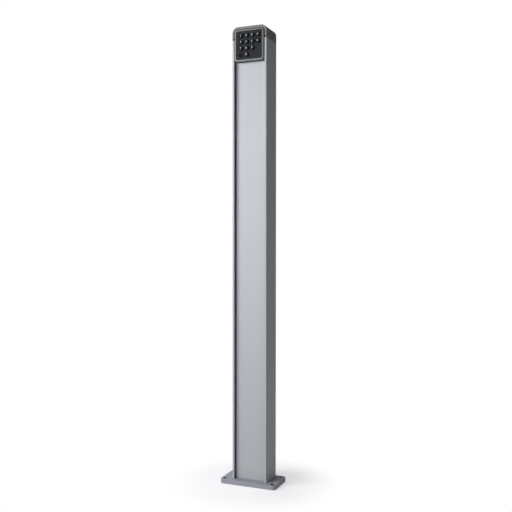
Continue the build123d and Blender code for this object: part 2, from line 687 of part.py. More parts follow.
def case_screws():
    """Long screws from the back of the box through the board into the face."""
    seat = BOX_BACK - CASE_SCREW[2]
    return [Pos(x, seat, z) * Rot(-90, 0, 0) * pan_screw(CASE_SCREW) for x, z in CORNERS]


def cable_grommet():
    """Rubber grommet with a groove, seated in the box and the bracket."""
    z = KEYPAD_MID - GROMMET_DROP
    groove_front = BOX_BACK - BOX_WALL
    front = groove_front - GROMMET_FLANGE_T
    back = BRACKET_BACK + GROMMET_FLANGE_T
    grommet = rod_facing(0, z, GROMMET_HOLE_R - GROMMET_PLAY, front, back)
    grommet += rod_facing(0, z, GROMMET_FLANGE_R, front, groove_front)
    grommet += rod_facing(0, z, GROMMET_FLANGE_R, BRACKET_BACK, back)
    return grommet - rod_facing(0, z, GROMMET_BORE_R, front - OVERCUT, back + OVERCUT)


def mounting_bracket():
    """Sheet-metal plate that slides down the rails, with two flaps on top of the post."""
    half = HALF_ROOM - BRACKET_PLAY
    neck = half - FLAP_W
    foot = KEYPAD_BOTTOM + BRACKET_FOOT
    flap_top = POST_TOP + BRACKET_T
    plate = block(-half, half, BRACKET_FRONT, BRACKET_BACK, foot, POST_TOP)
    plate += block(-neck, neck, BRACKET_FRONT, BRACKET_BACK, POST_TOP, POST_TOP + BRACKET_HEAD)
    flap_in = neck + BRACKET_RELIEF_W
    flap_end = BRACKET_FRONT + FLAP_L + BRACKET_T
    for side in (-1, 1):
        flap_x = sorted((side * flap_in, side * (half - CAP_WALL + POST_WALL)))
        plate += block(*flap_x, BRACKET_FRONT, flap_end, POST_TOP, flap_top)
        hole_r = FLAP_SCREW[0] + SHANK_PLAY
        plate -= rod_upright(side * PORT_X, FRONT_PORT_Y, hole_r, POST_TOP - OVERCUT, flap_top + OVERCUT)
        slot_x = sorted((side * neck, side * flap_in))
        plate -= block(*slot_x, BRACKET_FRONT - OVERCUT, BRACKET_BACK + OVERCUT, POST_TOP - BRACKET_RELIEF_H,
                       flap_top + OVERCUT)
    bends = [e for e in plate.edges().filter_by(Axis.X)
             if abs(e.center().Y - BRACKET_FRONT) < NEAR and abs(e.center().Z - flap_top) < NEAR]
    plate = fillet(bends, BRACKET_BEND_R)
    for x, z in BOX_SCREWS:
        plate -= rod_facing(x, z, BOX_SCREW[0] + SHANK_PLAY, BRACKET_FRONT - OVERCUT, BRACKET_BACK + OVERCUT)
    grommet_z = KEYPAD_MID - GROMMET_DROP
    return plate - rod_facing(0, grommet_z, GROMMET_HOLE_R, BRACKET_FRONT - OVERCUT, BRACKET_BACK + OVERCUT)


def bracket_screws():
    """Screws through the flaps of the bracket into the upper ends of the front screw ports."""
    top = POST_TOP + BRACKET_T
    return [Pos(side * PORT_X, FRONT_PORT_Y, top) * pan_screw(FLAP_SCREW) for side in (-1, 1)]


def housing_screws():
    """Screws from behind the bracket into the back of the box."""
    return [Pos(x, BRACKET_BACK, z) * Rot(-90, 0, 0) * pan_screw(BOX_SCREW) for x, z in BOX_SCREWS]


def all_parts():
    """Every named piece of the post."""
    makers = (base_plate, base_screws, post_profile, front_cover, cover_clips, top_cap, cap_screws,
              keypad_bezel, keypad_face, key_mat, contact_pads, circuit_board, control_chip, buzzer, relay,
              terminal_block, terminal_screws, housing_seal, keypad_housing, case_screws, cable_grommet,
              mounting_bracket, bracket_screws, housing_screws)
    parts = {maker.__name__: maker() for maker in makers}
    for name in KEYS:
        parts["key_" + name] = key(name)
        parts["pill_" + name] = pill(name)
    return parts


os.makedirs("parts", exist_ok=True)
for part_name, shape in all_parts().items():
    solid = Compound(children=shape) if isinstance(shape, list) else shape
    export_step(solid, "parts/" + part_name + ".step")
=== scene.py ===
import json
import math
import bpy
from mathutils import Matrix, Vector


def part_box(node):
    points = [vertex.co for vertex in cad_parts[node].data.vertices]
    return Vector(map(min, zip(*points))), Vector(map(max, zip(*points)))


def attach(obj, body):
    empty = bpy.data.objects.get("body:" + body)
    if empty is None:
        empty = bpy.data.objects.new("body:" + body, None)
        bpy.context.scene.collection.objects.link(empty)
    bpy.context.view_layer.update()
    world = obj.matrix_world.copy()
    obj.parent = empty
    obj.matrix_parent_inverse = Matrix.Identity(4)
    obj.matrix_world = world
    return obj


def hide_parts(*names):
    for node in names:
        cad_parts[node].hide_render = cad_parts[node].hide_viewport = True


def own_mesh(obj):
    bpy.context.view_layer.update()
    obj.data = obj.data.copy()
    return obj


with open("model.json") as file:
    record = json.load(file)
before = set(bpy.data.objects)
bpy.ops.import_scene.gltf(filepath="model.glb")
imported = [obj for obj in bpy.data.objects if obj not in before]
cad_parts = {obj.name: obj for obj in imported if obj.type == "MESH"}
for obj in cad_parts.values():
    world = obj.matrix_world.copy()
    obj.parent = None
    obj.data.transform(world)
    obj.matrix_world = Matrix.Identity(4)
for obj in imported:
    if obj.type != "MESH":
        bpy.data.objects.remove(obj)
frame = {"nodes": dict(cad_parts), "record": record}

bl_info = {
    "name": "Gate keypad post",
    "version": (1, 0, 0),
    "blender": (4, 5, 0),
    "location": "3D View > Sidebar > Gate post",
    "description": "Finishes, key legends and studio for a gate keypad post",
    "category": "Object",
}

MM = 0.001
WHITE = (1.0, 1.0, 1.0, 1.0)
RECORD = frame["record"]
NODES = frame["nodes"]
SLOT_OF = {part["node"]: part["material_slot"] for part in RECORD["subparts"]}
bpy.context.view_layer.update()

# Digits set in type, and two that are drawn: outline, then opening, in shares of the digit's height
DIGITS = "23567890"
DRAWN = {
    "1": [[(-0.085, 0.0), (0.085, 0.0), (0.085, 1.0), (-0.03, 1.0), (-0.30, 0.82), (-0.30, 0.66),
           (-0.085, 0.80)]],
    "4": [[(0.403, 0.0), (0.576, 0.0), (0.576, 0.312), (0.678, 0.312), (0.678, 0.472), (0.576, 0.472),
           (0.576, 1.0), (0.45, 1.0), (0.0, 0.43), (0.0, 0.312), (0.403, 0.312)],
          [(0.215, 0.472), (0.403, 0.472), (0.403, 0.71)]],
}

# Arrows are rounded triangles that point up or down, their points rounded by a share of their size
ARROWS = {"up": 1, "down": -1}
ARROW_ROUNDING = 0.12

# A digit's height as a share of its type size, and the steps between two points of its outline
TYPE_HEIGHT = 0.73
CURVE_STEPS = 6

# The grid that lets a mark follow its key: its step, and its reach as a share of a digit's height
GRID_STEP = 0.7 * MM
GRID_REACH = 0.6

# How far in front of its key a mark stands before it is laid on, and the reach of a cut's merging
STAND_OFF = 1.0 * MM
CUT_REACH = 0.001 * MM

# The rubber mat's sheet thickness, a little more than a dome's radius, and the share of the room
# behind a pressed key that a flattened dome would fill
MAT_SHEET = 1.0 * MM
DOME_REACH = 6.5 * MM
DOME_ROOM = 0.9

# Dust at the foot of the post: its colour, its share, and the heights between which it ends
DUST = (0.42, 0.40, 0.37)
DUST_SHARE = 0.35
DUST_FADE = (0.012, 0.05)

# Painted shade in the recess beside the cover, and the width of the post's rounded front edges
PAINTED_RECESS_SHADE = (0.030, 0.030, 0.033)
NOSE = 5.5 * MM

# The painted shade starts behind the post's front and ends behind the cover's, with soft edges along and
# across
RECESS_START = 0.6 * MM
RECESS_END = 3.4 * MM
RECESS_EDGE = 0.6 * MM
RECESS_SIDE = (0.2 * MM, 0.5 * MM)

# Painted shade down the anchor holes and round their rims, and the distances past a hole's wall between
# which it ends
PAINTED_HOLE_SHADE = (0.006, 0.006, 0.007)
HOLE_RIM = (0.3 * MM, 1.2 * MM)

# The floor lies just under the plate. Its glow keeps the shadow pale, and it turns plain white
# between two distances from the post
FLOOR_SIDES = 96
FLOOR_DROP = 0.4 * MM
FLOOR_GREY = (0.53, 0.56)
FLOOR_LIFT = 0.635
FLOOR_TINT = (1.0, 0.975, 1.0)
FLOOR_FADE = (0.10, 0.25)

# Each lamp's place, the point it faces, its width and height, and the setting that holds its power
LAMPS = {
    "front_lamp": ((-0.85, -2.05, 0.86), (0.0, 0.0, 0.80), (0.8, 1.2), "front_power"),
    "high_lamp": ((-1.35, -1.20, 1.50), (0.0, 0.0, 0.55), (0.7, 0.7), "high_power"),
    "fill_lamp": ((1.15, -0.70, 0.16), (0.0, 0.0, 0.45), (0.5, 0.25), "fill_power"),
    "back_lamp": ((-1.75, 1.50, 0.80), (0.0, 0.0, 0.70), (0.6, 1.2), "back_power"),
}
SENSOR_WIDTH = 36.0


class Term:
    """A node's output, so that shader maths reads as plain arithmetic."""

    def __init__(self, nodes, node, output):
        self.nodes = nodes
        self.node = node
        self.socket = node.outputs[output] if len(node.outputs) else None

    def _maths(self, operation, first, second):
        return self.nodes.add("ShaderNodeMath", {"operation": operation}, {0: first, 1: second})

    def __add__(self, other):
        return self._maths("ADD", self, other)

    def __radd__(self, other):
        return self._maths("ADD", other, self)

    def __sub__(self, other):
        return self._maths("SUBTRACT", self, other)

    def __rsub__(self, other):
        return self._maths("SUBTRACT", other, self)

    def __mul__(self, other):
        return self._maths("MULTIPLY", self, other)

    def __rmul__(self, other):
        return self._maths("MULTIPLY", other, self)

    def __or__(self, other):
        return self._maths("MAXIMUM", self, other)


class Nodes:
    """A node tree, emptied, with one way of adding to it."""

    def __init__(self, owner):
        owner.use_nodes = True
        self.tree = owner.node_tree
        self.tree.nodes.clear()

    def add(self, kind, settings=None, sockets=None, output=0):
        """A node with its settings and its sockets filled in; gives one of its outputs."""
        node = self.tree.nodes.new(kind)
        for name, value in (settings or {}).items():
            setattr(node, name, value)
        for key, value in (sockets or {}).items():
            self.feed(node.inputs[key], value)
        return Term(self, node, output)

    def feed(self, socket, value):
        """Fill a socket with a number, a colour or another node's output."""
        if isinstance(value, Term):
            self.tree.links.new(value.socket, socket)
        else:
            socket.default_value = value

    def seen(self):
        """1 for what the camera sees, straight, in a reflection or through glass, and 0 for what lights."""
        return (self.add("ShaderNodeLightPath", output="Is Camera Ray")
                | self.add("ShaderNodeLightPath", output="Is Glossy Ray")
                | self.add("ShaderNodeLightPath", output="Is Transmission Ray"))


class Finish(Nodes):
    """A procedural finish under construction, drawn on object coordinates."""

    def __init__(self, name, **shader_settings):
        self.material = bpy.data.materials.new(name)
        super().__init__(self.material)
        settings = {socket.replace("_", " "): value for socket, value in shader_settings.items()}
        self.surface = self.add("ShaderNodeBsdfPrincipled", None, settings, "BSDF")
        self.output = self.add("ShaderNodeOutputMaterial", None, {"Surface": self.surface})
        self.place = self.add("ShaderNodeTexCoord", output="Object")

    def show(self, surface):
        """Send another shader to the material's output."""
        self.feed(self.output.node.inputs["Surface"], surface)

    def set(self, socket, value):
        """Let a pattern drive one socket of the shader."""
        self.feed(self.surface.node.inputs[socket], value)

    def noise(self, scale, detail=3.0, roughness=0.55, stretch=(1.0, 1.0, 1.0)):
        """Soft noise between 0 and 1, its grain drawn out along an axis by a small stretch number."""
        place = self.place
        if stretch != (1.0, 1.0, 1.0):
            place = self.add("ShaderNodeMapping", {"vector_type": "POINT"},
                             {"Vector": place, "Scale": stretch})
        return self.add("ShaderNodeTexNoise", {"noise_dimensions": "3D"},
                        {"Vector": place, "Scale": scale, "Detail": detail, "Roughness": roughness}, "Fac")

    def cells(self, scale):
        """Distance to the nearest of many scattered points."""
        return self.add("ShaderNodeTexVoronoi", {"feature": "F1"},
                        {"Vector": self.place, "Scale": scale}, "Distance")

    def along(self, axis):
        """The place along one axis, in metres."""
        return self.add("ShaderNodeSeparateXYZ", None, {"Vector": self.place}, axis)

    def size_of(self, value):
        """A number without its sign."""
        return self.add("ShaderNodeMath", {"operation": "ABSOLUTE"}, {0: value})

    def band(self, value, low, high):
        """0 below low, 1 above high, and smooth between."""
        return self.add("ShaderNodeMapRange", {"interpolation_type": "SMOOTHSTEP"},
                        {"Value": value, "From Min": low, "From Max": high})

    def mix(self, factor, first, second):
        """One colour passing into another."""
        return self.add("ShaderNodeMix", {"data_type": "RGBA"}, {0: factor, 6: first, 7: second}, 2)

    def bump(self, height, distance, strength=1.0, under=None):
        """Relief of a given depth in metres, on top of an earlier one."""
        sockets = {"Height": height, "Distance": distance, "Strength": strength}
        if under is not None:
            sockets["Normal"] = under
        return self.add("ShaderNodeBump", None, sockets, "Normal")


def rgba(colour, share=1.0):
    """A colour with its brightness multiplied, as a socket takes it."""
    return (colour[0] * share, colour[1] * share, colour[2] * share, 1.0)


def anodised(name, colour, metallic, roughness, streak=0.05, level=0.05, recess=None):
    """Satin anodised extrusion: draw lines, cloudy sheen and foot dust, with painted shade in any recess
    given.
    """
    finish = Finish(name, Specular_IOR_Level=level)
    lines = finish.noise(1.0, 4.0, 0.7, (1500.0, 1500.0, 2.0))
    broad = finish.noise(1.0, 2.0, 0.5, (60.0, 60.0, 0.8))
    grain = finish.noise(3200.0, 2.0)
    clouds = finish.noise(7.0, 3.0)
    shade = lines * 0.5 + broad * 0.3 + clouds * 0.2
    base = finish.mix(shade, rgba(colour, 1.0 - streak), rgba(colour, 1.0 + streak))
    foot = 1.0 - finish.band(finish.along("Z"), *DUST_FADE)
    base = finish.mix(foot * clouds * DUST_SHARE, base, rgba(DUST))
    # Painted shade: the inner walls of the recess beside the cover are darkened to stand in for the shade
    # that falls there
    if recess:
        half, front, back = recess
        aside = finish.size_of(finish.along("X"))
        between = 1.0 - finish.band(aside, half + RECESS_SIDE[0], half + RECESS_SIDE[1])
        behind = finish.band(finish.along("Y"), front, front + RECESS_EDGE)
        before = 1.0 - finish.band(finish.along("Y"), back, back + RECESS_EDGE)
        recess_shade_mask = between * behind * before * (0.80 + clouds * 0.15)
        base = finish.mix(recess_shade_mask, base, rgba(PAINTED_RECESS_SHADE))
    finish.set("Base Color", base)
    finish.set("Metallic", metallic - clouds * 0.06)
    finish.set("Roughness", roughness + lines * 0.10 + clouds * 0.06 - 0.08)
    fine = finish.bump(grain, 0.006 * MM)
    finish.set("Normal", finish.bump(lines, 0.01 * MM, 0.6, fine))
    return finish.material


def painted(name, colour, metallic, roughness, level, grain_scale=1400.0, depth=0.02 * MM, holes=None):
    """Powder coat: orange peel, fine speckle and cloudy sheen, with painted shade down any holes given."""
    finish = Finish(name, Specular_IOR_Level=level)
    peel = finish.noise(grain_scale, 2.0, 0.5)
    speckle = finish.noise(5200.0, 1.0)
    clouds = finish.noise(22.0, 4.0)
    base = finish.mix(speckle * 0.6 + clouds * 0.4, rgba(colour, 0.96), rgba(colour, 1.04))
    # Painted shade: each hole's wall and a thin ring round its rim are darkened to stand in for the shade
    # inside the hole
    if holes:
        across, deep, radius = holes
        aside = finish.size_of(finish.along("X")) - across
        behind = finish.size_of(finish.along("Y")) - deep
        inside = 1.0 - finish.band(aside * aside + behind * behind,
                                   (radius + HOLE_RIM[0]) ** 2, (radius + HOLE_RIM[1]) ** 2)
        base = finish.mix(inside, base, rgba(PAINTED_HOLE_SHADE))
    finish.set("Base Color", base)
    finish.set("Metallic", metallic + speckle * 0.04)
    finish.set("Roughness", roughness + clouds * 0.10 + peel * 0.06 - 0.08)
    finish.set("Normal", finish.bump(peel, depth, 0.7))
    return finish.material


def moulded(name, colour, roughness, grain_scale=2600.0, depth=0.03 * MM, level=0.5):
    """Moulded plastic with a spark-eroded grain and a slight bloom."""
    finish = Finish(name, Specular_IOR_Level=level)
    pits = finish.cells(grain_scale)
    soft = finish.noise(grain_scale * 0.5, 3.0)
    clouds = finish.noise(30.0, 3.0)
    base = finish.mix(clouds * 0.6 + soft * 0.4, rgba(colour, 0.94), rgba(colour, 1.06))
    finish.set("Base Color", base)
    finish.set("Roughness", roughness + clouds * 0.08 + soft * 0.08 - 0.08)
    finish.set("Normal", finish.bump(soft, depth, 0.6, finish.bump(pits, depth, 0.4)))
    return finish.material


def rubber(name, colour):
    """Matt silicone or rubber with a dusty bloom."""
    finish = Finish(name, Specular_IOR_Level=0.3)
    clouds = finish.noise(60.0, 4.0)
    grain = finish.noise(4000.0, 2.0)
    finish.set("Base Color", finish.mix(clouds, rgba(colour, 0.88), rgba(colour, 1.12)))
    finish.set("Roughness", 0.78 + grain * 0.15)
    finish.set("Normal", finish.bump(grain, 0.02 * MM, 0.5))
    return finish.material


def plated(name, colour, roughness):
    """Zinc or gold plating with fine wiping marks and cloudy spots."""
    finish = Finish(name)
    marks = finish.noise(1.0, 3.0, 0.6, (2400.0, 300.0, 300.0))
    clouds = finish.noise(160.0, 4.0)
    finish.set("Base Color", finish.mix(clouds, rgba(colour, 0.82), rgba(colour, 1.1)))
    finish.set("Metallic", 0.95 - clouds * 0.15)
    finish.set("Roughness", roughness + marks * 0.12 + clouds * 0.10)
    finish.set("Normal", finish.bump(marks, 0.008 * MM, 0.6))
    return finish.material


def solder_mask(name, colour):
    """Circuit board: green lacquer over a faint grid of copper tracks, with a woven core."""
    finish = Finish(name, Specular_IOR_Level=0.5)
    upright = finish.add("ShaderNodeMapping", None,
                         {"Vector": finish.place, "Rotation": (math.pi / 2, 0.0, 0.0)})
    tracks = finish.add("ShaderNodeTexBrick", {"offset": 0.5, "squash": 1.0}, {
        "Vector": upright, "Scale": 1.0, "Mortar Size": 0.2 * MM, "Brick Width": 5.1 * MM,
        "Row Height": 2.54 * MM}, "Fac")
    weave = finish.noise(1.0, 1.0, 0.5, (900.0, 900.0, 900.0))
    lacquer = finish.mix(weave, rgba(colour, 0.85), rgba(colour, 1.15))
    finish.set("Base Color", finish.mix(tracks * 0.55, lacquer, rgba(colour, 1.9)))
    finish.set("Roughness", 0.32 + weave * 0.12)
    finish.set("Normal", finish.bump(tracks, 0.03 * MM, 0.5))
    return finish.material


def printed(name, colour):
    """Printed legend ink, very slightly uneven."""
    finish = Finish(name, Specular_IOR_Level=0.4)
    uneven = finish.noise(1800.0, 3.0)
    finish.set("Base Color", finish.mix(uneven, rgba(colour, 0.93), rgba(colour, 1.05)))
    finish.set("Roughness", 0.55 + uneven * 0.12)
    finish.set("Normal", finish.bump(uneven, 0.01 * MM, 0.5))
    return finish.material


def deselect():
    """Leave edit mode and clear the selection."""
    if bpy.context.object is not None and bpy.context.object.mode != "OBJECT":
        bpy.ops.object.mode_set(mode="OBJECT")
    bpy.ops.object.select_all(action="DESELECT")


def pick(piece):
    """Make one piece the only one selected."""
    deselect()
    piece.select_set(True)
    bpy.context.view_layer.objects.active = piece


def bake_place(piece):
    """Put the piece's place, turn and size into its mesh."""
    pick(piece)
    bpy.ops.object.transform_apply(location=True, rotation=True, scale=True)


def flat_mark(loops, height):
    """A flat mark with straight edges, from its outline and any opening in it."""
    rings = []
    for loop in loops:
        deselect()
        bpy.ops.mesh.primitive_circle_add(vertices=len(loop), radius=height, fill_type="NOTHING",
                                          location=(0.0, 0.0, 0.0))
        ring = bpy.context.object
        for corner, (across, up) in zip(ring.data.vertices, loop):
            corner.co = (across * height, up * height, 0.0)
        rings.append(ring)
    pick(rings[0])
    for ring in rings:
        ring.select_set(True)
    bpy.ops.object.join()
    bpy.ops.object.mode_set(mode="EDIT")
    bpy.ops.mesh.select_all(action="SELECT")
    bpy.ops.mesh.fill(use_beauty=True)
    bpy.ops.object.mode_set(mode="OBJECT")
    return rings[0]


def pick_faces(piece, wanted):
    """Enter edit mode with only the faces selected whose centre is wanted."""
    pick(piece)
    bpy.ops.object.mode_set(mode="EDIT")
    bpy.ops.mesh.select_mode(type="FACE")
    bpy.ops.mesh.select_all(action="DESELECT")
    bpy.ops.object.mode_set(mode="OBJECT")
    for face in piece.data.polygons:
        face.select = wanted(face.center)
    bpy.ops.object.mode_set(mode="EDIT")


def close_openings(piece):
    """Fill every open edge of a piece and turn its faces outward."""
    pick(piece)
    bpy.ops.object.mode_set(mode="EDIT")
    bpy.ops.mesh.select_mode(type="EDGE")
    bpy.ops.mesh.select_all(action="DESELECT")
    bpy.ops.mesh.select_non_manifold(use_wire=True, use_boundary=True, use_multi_face=False,
                                     use_non_contiguous=False, use_verts=False)
    bpy.ops.mesh.fill(use_beauty=True)
    bpy.ops.mesh.select_all(action="SELECT")
    bpy.ops.mesh.normals_make_consistent(inside=False)
    bpy.ops.mesh.select_mode(type="VERT")
    bpy.ops.object.mode_set(mode="OBJECT")


def grid_cuts(piece, half):
    """Cut a flat piece along a square grid, so that it can follow a curved surface."""
    pick(piece)
    bpy.ops.object.mode_set(mode="EDIT")
    count = int(half / GRID_STEP)
    for axis in (Vector((1.0, 0.0, 0.0)), Vector((0.0, 1.0, 0.0))):
        for i in range(-count, count + 1):
            bpy.ops.mesh.select_all(action="SELECT")
            bpy.ops.mesh.bisect(plane_co=axis * i * GRID_STEP, plane_no=axis, threshold=CUT_REACH)
    bpy.ops.mesh.select_all(action="SELECT")
    bpy.ops.mesh.remove_doubles(threshold=CUT_REACH)
    bpy.ops.object.mode_set(mode="OBJECT")


def lay_in_dish(piece, key_name, thickness):
    """Stand a flat mark upright in front of a key, press it onto the dished cap and give it a thickness."""
    key = NODES["key_" + key_name]
    low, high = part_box("key_" + key_name)
    piece.rotation_euler = (math.pi / 2, 0.0, 0.0)
    piece.location = ((low.x + high.x) / 2, low.y - STAND_OFF, (low.z + high.z) / 2)
    bake_place(piece)
    wrap = piece.modifiers.new("lay", "SHRINKWRAP")
    wrap.target = key
    wrap.wrap_method = "PROJECT"
    wrap.use_project_y = True
    wrap.use_negative_direction = True
    wrap.use_positive_direction = True
    wrap.wrap_mode = "ABOVE_SURFACE"
    wrap.offset = thickness
    bpy.ops.object.modifier_apply(modifier="lay")
    body = piece.modifiers.new("body", "SOLIDIFY")
    body.thickness = thickness
    body.offset = -1.0
    bpy.ops.object.modifier_apply(modifier="body")
    bpy.ops.object.mode_set(mode="EDIT")
    bpy.ops.mesh.select_all(action="SELECT")
    bpy.ops.mesh.normals_make_consistent(inside=False)
    bpy.ops.object.mode_set(mode="OBJECT")


class GatePostColours(bpy.types.PropertyGroup):
    """The colours that a user would change."""

    silver: bpy.props.FloatVectorProperty(
        name="Silver", description="Anodised post and cover", default=(0.532, 0.555, 0.586),
        subtype="COLOR", min=0.0, max=1.0)
    plate: bpy.props.FloatVectorProperty(
        name="Base plate", description="Painted base plate", default=(0.395, 0.402, 0.458),
        subtype="COLOR", min=0.0, max=1.0)
    hood: bpy.props.FloatVectorProperty(
        name="Hood", description="Moulded hood", default=(0.29, 0.288, 0.285),
        subtype="COLOR", min=0.0, max=1.0)
    frame: bpy.props.FloatVectorProperty(
        name="Keypad frame", description="Cast frame of the keypad", default=(0.235, 0.24, 0.25),
        subtype="COLOR", min=0.0, max=1.0)
    face: bpy.props.FloatVectorProperty(
        name="Face", description="Dark face of the keypad", default=(0.026, 0.0285, 0.034),
        subtype="COLOR", min=0.0, max=1.0)
    keys: bpy.props.FloatVectorProperty(
        name="Keys", description="Key caps", default=(0.014, 0.015, 0.017),
        subtype="COLOR", min=0.0, max=1.0)
    legends: bpy.props.FloatVectorProperty(
        name="Legends", description="Digits and arrows on the keys", default=(0.50, 0.52, 0.54),
        subtype="COLOR", min=0.0, max=1.0)


class GatePostLegends(bpy.types.PropertyGroup):
    """Sizes of the marks on the keys."""

    height: bpy.props.FloatProperty(
        name="Digit height", description="Height of a digit", default=6.6 * MM, unit="LENGTH")
    weight: bpy.props.FloatProperty(
        name="Extra weight", description="How far each stroke is thickened on either side",
        default=0.12 * MM, unit="LENGTH")
    arrow: bpy.props.FloatProperty(
        name="Arrow radius", description="From the middle of an arrow to its points", default=3.0 * MM,
        unit="LENGTH")
    ink: bpy.props.FloatProperty(
        name="Ink thickness", description="Thickness of the print", default=0.05 * MM, unit="LENGTH")


class GatePostStudio(bpy.types.PropertyGroup):
    """Camera and light."""

    camera_place: bpy.props.FloatVectorProperty(
        name="Camera", description="Place of the camera", default=(0.78481, -1.84484, 0.67209),
        subtype="TRANSLATION", unit="LENGTH")
    camera_turn: bpy.props.FloatVectorProperty(
        name="Camera turn", description="Turn of the camera",
        default=(math.radians(88.627), math.radians(-0.03), math.radians(22.833)), subtype="EULER",
        unit="ROTATION")
    lens: bpy.props.FloatProperty(
        name="Lens", description="Focal length", default=51.41, unit="CAMERA")
    front_power: bpy.props.FloatProperty(
        name="Front lamp", description="Power of the tall lamp at the front left", default=16.6,
        unit="POWER")
    high_power: bpy.props.FloatProperty(
        name="High lamp", description="Power of the high lamp at the front left", default=25.4,
        unit="POWER")
    fill_power: bpy.props.FloatProperty(
        name="Fill lamp", description="Power of the low weak lamp at the right", default=2.3, unit="POWER")
    back_power: bpy.props.FloatProperty(
        name="Back lamp", description="Power of the tall lamp behind", default=12.5, unit="POWER")
    ambient: bpy.props.FloatProperty(
        name="Ambient", description="Strength of the surrounding light", default=0.01, min=0.0)
    floor_radius: bpy.props.FloatProperty(
        name="Floor", description="Radius of the floor", default=4.0, unit="LENGTH")


def colours():
    """The colour settings of the scene."""
    return bpy.context.scene.gate_post_colours


def anchor_holes():
    """Half the spacing of the base plate's holes in X and Y, and their radius, in metres."""
    sizes = next(mount["dims"] for mount in RECORD["mounts"] if mount["name"] == "anchor_holes")
    return sizes["spacing_x_mm"] / 2 * MM, sizes["spacing_y_mm"] / 2 * MM, sizes["hole_r_mm"] * MM


def cover_recess():
    """Half the width between the post's noses, and from where to where in Y their inner walls show."""
    post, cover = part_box("post_profile"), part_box("front_cover")
    return post[1].x - NOSE, post[0].y + RECESS_START, cover[0].y + RECESS_END


def dress(finishes):
    """Give each CAD node of these slots its finish."""
    for node, slot in SLOT_OF.items():
        if slot not in finishes:
            continue
        holder = NODES[node]
        if not holder.material_slots:
            holder.data.materials.append(finishes[slot])
        for place in holder.material_slots:
            place.material = finishes[slot]


class GATEPOST_OT_metal(bpy.types.Operator):
    """Anodised post and cover, painted base plate and keypad frame"""
    bl_idname = "gatepost.metal"
    bl_label = "Finish the metal parts"

    def execute(self, context):
        c = colours()
        dress({
            "post_paint": anodised("post_silver", c.silver, metallic=0.06, roughness=0.46,
                                   recess=cover_recess()),
            "cover_paint": anodised("cover_silver", c.silver, metallic=0.12, roughness=0.44, streak=0.06),
            "plate_paint": painted("plate_silver", c.plate, metallic=0.04, roughness=0.48, level=0.12,
                                   holes=anchor_holes()),
            "bezel_grey": painted("frame_grey", c.frame, metallic=0.04, roughness=0.40, level=0.15,
                                  grain_scale=1800.0, depth=0.015 * MM),
            "bracket_zinc": plated("bracket_zinc", (0.60, 0.61, 0.62), roughness=0.34),
            "clip_steel": plated("clip_steel", (0.42, 0.42, 0.44), roughness=0.28),
            "screw_steel": plated("screw_steel", (0.55, 0.55, 0.56), roughness=0.30),
        })
        return {"FINISHED"}


class GATEPOST_OT_mouldings(bpy.types.Operator):
    """Hood, keypad face, keys, back box and their seals"""
    bl_idname = "gatepost.mouldings"
    bl_label = "Finish the moulded parts"

    def execute(self, context):
        c = colours()
        dress({
            "cap_grey": moulded("hood_grey", c.hood, roughness=0.52, grain_scale=1900.0, depth=0.04 * MM,
                                level=0.03),
            "face_dark": moulded("face_dark", c.face, roughness=0.55, level=0.08),
            "key_black": moulded("key_black", c.keys, roughness=0.42, grain_scale=3600.0,
                                 depth=0.012 * MM, level=0.05),
            "key_blank_black": moulded("key_blank_black", (0.008, 0.009, 0.010), roughness=0.46,
                                       grain_scale=3600.0, depth=0.012 * MM, level=0.04),
            "housing_black": moulded("box_black", (0.030, 0.031, 0.034), roughness=0.5),
            "chip_black": moulded("chip_black", (0.022, 0.022, 0.024), roughness=0.6, grain_scale=5200.0,
                                  depth=0.01 * MM),
            "buzzer_black": moulded("buzzer_black", (0.015, 0.015, 0.016), roughness=0.4),
            "relay_blue": moulded("relay_blue", (0.04, 0.13, 0.40), roughness=0.3, grain_scale=3000.0,
                                  depth=0.01 * MM),
            "terminal_green": moulded("terminal_green", (0.05, 0.33, 0.14), roughness=0.45),
            "seal_rubber": rubber("seal_rubber", (0.020, 0.020, 0.021)),
            "grommet_rubber": rubber("grommet_rubber", (0.022, 0.022, 0.022)),
            "carbon": rubber("pill_carbon", (0.025, 0.025, 0.026)),
            "gold": plated("pad_gold", (0.80, 0.58, 0.22), roughness=0.22),
            "board_green": solder_mask("board_green", (0.022, 0.16, 0.065)),
        })
        return {"FINISHED"}


class GATEPOST_OT_mat(bpy.types.Operator):
    """Rubber mat: a sheet, and a dome behind each key"""
    bl_idname = "gatepost.mat"
    bl_label = "Make the key mat"

    def execute(self, context):
        silicone = rubber("mat_silicone", (0.28, 0.28, 0.29))
        dress({"mat_rubber": silicone})
        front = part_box("key_mat")[1].y - MAT_SHEET
        sheet = bpy.data.objects.new("mat_sheet", NODES["key_mat"].data.copy())
        context.scene.collection.objects.link(sheet)
        pick(sheet)
        bpy.ops.object.mode_set(mode="EDIT")
        bpy.ops.mesh.select_all(action="SELECT")
        bpy.ops.mesh.remove_doubles(threshold=CUT_REACH)
        bpy.ops.mesh.bisect(plane_co=(0.0, front, 0.0), plane_no=(0.0, 1.0, 0.0), threshold=CUT_REACH)
        bpy.ops.object.mode_set(mode="OBJECT")
        for joint in RECORD["behaviour"]["joints"]:
            self.dome(sheet, joint, front, silicone)
        close_openings(sheet)
        self.settle(sheet, silicone)
        return {"FINISHED"}

    def dome(self, sheet, joint, front, silicone):
        """Part one dome from the sheet and close both."""
        low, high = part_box(joint["child"])
        across, up = (low.x + high.x) / 2, (low.z + high.z) / 2
        pick_faces(sheet, lambda place: place.y < front
                   and math.hypot(place.x - across, place.z - up) < DOME_REACH)
        bpy.ops.mesh.separate(type="SELECTED")
        bpy.ops.object.mode_set(mode="OBJECT")
        dome = next(piece for piece in bpy.context.selected_objects if piece != sheet)
        dome.name = "dome_" + joint["child"].removeprefix("key_")
        close_openings(dome)
        self.settle(dome, silicone)
        height = front - high.y
        DOME_ROOM * (height - joint["range_m"][1]) / height
        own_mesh(dome)

    def settle(self, piece, silicone):
        """Finish a part of the mat, which stays with the post."""
        piece.data.materials.clear()
        piece.data.materials.append(silicone)
        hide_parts("key_mat")
        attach(piece, "post")


